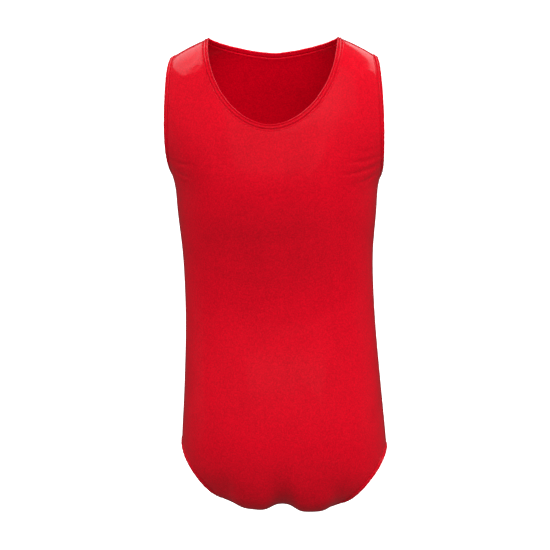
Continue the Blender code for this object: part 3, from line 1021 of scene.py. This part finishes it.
class LEOTARD_OT_edges(bpy.types.Operator):
    """Makes the folded bands of the neckline, armholes and leg openings, and their two rows of stitches"""

    bl_idname = "leotard.edges"
    bl_label = "Edges and stitches"

    def execute(self, context):
        settings = settings_of(context)
        edges = all_edges(panel_grid(1), panel_grid(-1))
        for name, node in (
            ("neck", "neck_band"),
            ("armhole_left", "armhole_band_left"),
            ("armhole_right", "armhole_band_right"),
            ("leg_left", "leg_band_left"),
            ("leg_right", "leg_band_right"),
        ):
            line = edges[name]
            pitch = line.length / round(line.length / settings.stitch_pitch)
            make_band(name + "_edge", node, line, pitch, settings.gather, band_finish(settings))
            make_stitches(name + "_stitches", line, pitch, settings.gather, thread_finish(settings))
        return {"FINISHED"}


class LEOTARD_OT_seams(bpy.types.Operator):
    """Makes the overlocked seam allowances on the inside of the five seams"""

    bl_idname = "leotard.seams"
    bl_label = "Seams"

    def execute(self, context):
        for name, line in all_seams(panel_grid(1), panel_grid(-1)).items():
            make_allowance(name + "_seam", line, band_finish(settings_of(context)))
        return {"FINISHED"}


class LEOTARD_OT_cloth(bpy.types.Operator):
    """Makes the back and front panels with their creases"""

    bl_idname = "leotard.cloth"
    bl_label = "Panels"

    def execute(self, context):
        settings = settings_of(context)
        back, front = panel_grid(1), panel_grid(-1)
        lines = [(line, EDGE_LINE) for line in all_edges(back, front).values()]
        lines += [(line, SEAM_LINE) for line in all_seams(back, front).values()]
        endings = ("_edge", "_stitches", "_seam")
        trim = [piece for piece in context.scene.objects if piece.name.endswith(endings)]
        if not trim:
            raise RuntimeError("the edges and seams are made first, because they go with the cloth")
        material = cloth_finish(settings)
        for name, node, side, cut, area, going in (
            ("back_cloth", "back_panel", 1, BACK_CUT, BACK_AREA, trim),
            ("front_cloth", "front_panel", -1, FRONT_CUT, FRONT_AREA, ()),
        ):
            piece = make_panel(name, side, lines, settings, material)
            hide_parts(node)
        return {"FINISHED"}


def add_softbox(name, place, tilt, turn, size, radiance, mirrored):
    """A rectangular light of one radiance all over, tilted up from facing the floor and then turned about
    the upright, in degrees. Its power is that radiance times pi times its area. One that isn't mirrored
    doesn't show in the gloss."""
    data = bpy.data.lights.new(name, "AREA")
    data.shape = "RECTANGLE"
    data.size, data.size_y = size
    data.energy = math.pi * size[0] * size[1] * radiance
    light = bpy.data.objects.new(name, data)
    light.location = place
    light.visible_camera, light.visible_glossy = False, mirrored
    light.rotation_euler = (math.radians(tilt), 0.0, math.radians(turn))
    bpy.context.scene.collection.objects.link(light)


# The overhead boxes make the pale patches on the shoulders, the key lights the back, and a small lamp in
# the neck opening lights the inside of the front.
SOFTBOX_COLUMNS = ("name", "place", "tilt", "turn", "size", "radiance", "mirrored")
SOFTBOXES = (
    ("overhead_left", (-0.84, 0.66, 0.90), 0.0, 0.0, (0.83, 1.95), 1.3, True),
    ("overhead_right", (1.00, 0.98, 0.90), 0.0, 23.5, (0.80, 1.95), 1.6, True),
    ("key", (0.85, -2.0, 1.75), 49.5, 23.0, (2.4, 1.6), 4.9, False),
    ("collar", (0.0, 0.0, 0.010), 84.0, 0.0, (0.15, 0.03), 1.9, False),
    ("rim_left", (-2.2, 0.3, 0.2), 90.0, -90.0, (1.2, 1.8), 1.4, False),
    ("rim_right", (2.2, 0.3, 0.2), 90.0, 90.0, (1.2, 1.8), 0.5, False),
    ("sheen", (0.2, -2.6, 1.3), 59.0, 4.4, (2.8, 2.2), 0.11, True),
)


class LEOTARD_OT_studio(bpy.types.Operator):
    """Makes the pale floor, the soft lights and the camera at the photograph's angle"""

    bl_idname = "leotard.studio"
    bl_label = "Studio"

    def execute(self, context):
        scene = context.scene
        for row in SOFTBOXES:
            box = dict(zip(SOFTBOX_COLUMNS, row))
            add_softbox(**box)
        self.add_floor(scene)
        self.add_world(scene)
        data = bpy.data.cameras.new("camera")
        data.lens, data.sensor_width = CAMERA_LENS, SENSOR
        camera = bpy.data.objects.new("camera", data)
        flat = CAMERA_DISTANCE * math.cos(CAMERA_ELEVATION)
        high = CAMERA_DISTANCE * math.sin(CAMERA_ELEVATION)
        away = Vector((flat * math.sin(CAMERA_AZIMUTH), -flat * math.cos(CAMERA_AZIMUTH), high))
        camera.location = CAMERA_TARGET + away
        camera.rotation_euler = (-away).to_track_quat("-Z", "Y").to_euler()
        scene.collection.objects.link(camera)
        scene.camera = camera
        scene.view_settings.view_transform = "Standard"
        return {"FINISHED"}

    def add_floor(self, scene):
        """A wide square of pale floor, the height of a wearer's shoulders below the shoulder seams."""
        far = FLOOR_REACH
        corners = [(x, y, FLOOR_HEIGHT) for x, y in ((-far, -far), (far, -far), (far, far), (-far, far))]
        mesh = bpy.data.meshes.new("floor")
        mesh.from_pydata(corners, [], [(0, 1, 2, 3)])
        pale = Shader(bpy.data.materials.new("pale_floor"))
        seen = pale.node("ShaderNodeLightPath", {}, {}, output="Is Camera Ray")
        mirrored = pale.node("ShaderNodeLightPath", {}, {}, output="Is Glossy Ray")
        bounce = pale.mixed(mirrored, grey(FLOOR_BOUNCE), grey(FLOOR_MIRRORED))
        pale.set(base_color=pale.mixed(seen, bounce, grey(FLOOR_SEEN)))
        pale.set(roughness=FLOOR_ROUGHNESS, specular_ior_level=0.0)
        pale.set(emission_color=grey(1.0), emission_strength=FLOOR_GLOW * seen)
        mesh.materials.append(pale.holder)
        floor = bpy.data.objects.new("floor", mesh)
        scene.collection.objects.link(floor)

    def add_world(self, scene):
        """White all round, and nearly dark in the gloss of the cloth."""
        scene.world = bpy.data.worlds.new("studio")
        sky = Shader(scene.world, "Background")
        mirrored = sky.node("ShaderNodeLightPath", {}, {}, output="Is Glossy Ray")
        sky.set(color=grey(1.0), strength=FILL - (FILL - GLOSS_FILL) * mirrored)


class LEOTARD_PT_panel(bpy.types.Panel):
    """Lists the leotard's settings and the steps that make it"""

    bl_idname = "LEOTARD_PT_panel"
    bl_label = "Sleeveless leotard"
    bl_space_type = "VIEW_3D"
    bl_region_type = "UI"
    bl_category = "Leotard"

    def draw(self, context):
        settings = settings_of(context)
        for name in LeotardSettings.__annotations__:
            self.layout.prop(settings, name)
        for operator in OPERATORS:
            self.layout.operator(operator.bl_idname)


OPERATORS = (LEOTARD_OT_studio, LEOTARD_OT_edges, LEOTARD_OT_seams, LEOTARD_OT_cloth)
CLASSES = (LeotardSettings, *OPERATORS, LEOTARD_PT_panel)


def register():
    for one in CLASSES:
        bpy.utils.register_class(one)
    bpy.types.Scene.leotard = bpy.props.PointerProperty(type=LeotardSettings)


def unregister():
    del bpy.types.Scene.leotard
    for one in reversed(CLASSES):
        bpy.utils.unregister_class(one)


def main():
    register()
    bpy.ops.leotard.studio()
    bpy.ops.leotard.edges()
    bpy.ops.leotard.seams()
    bpy.ops.leotard.cloth()


if __name__ == "__main__":
    main()
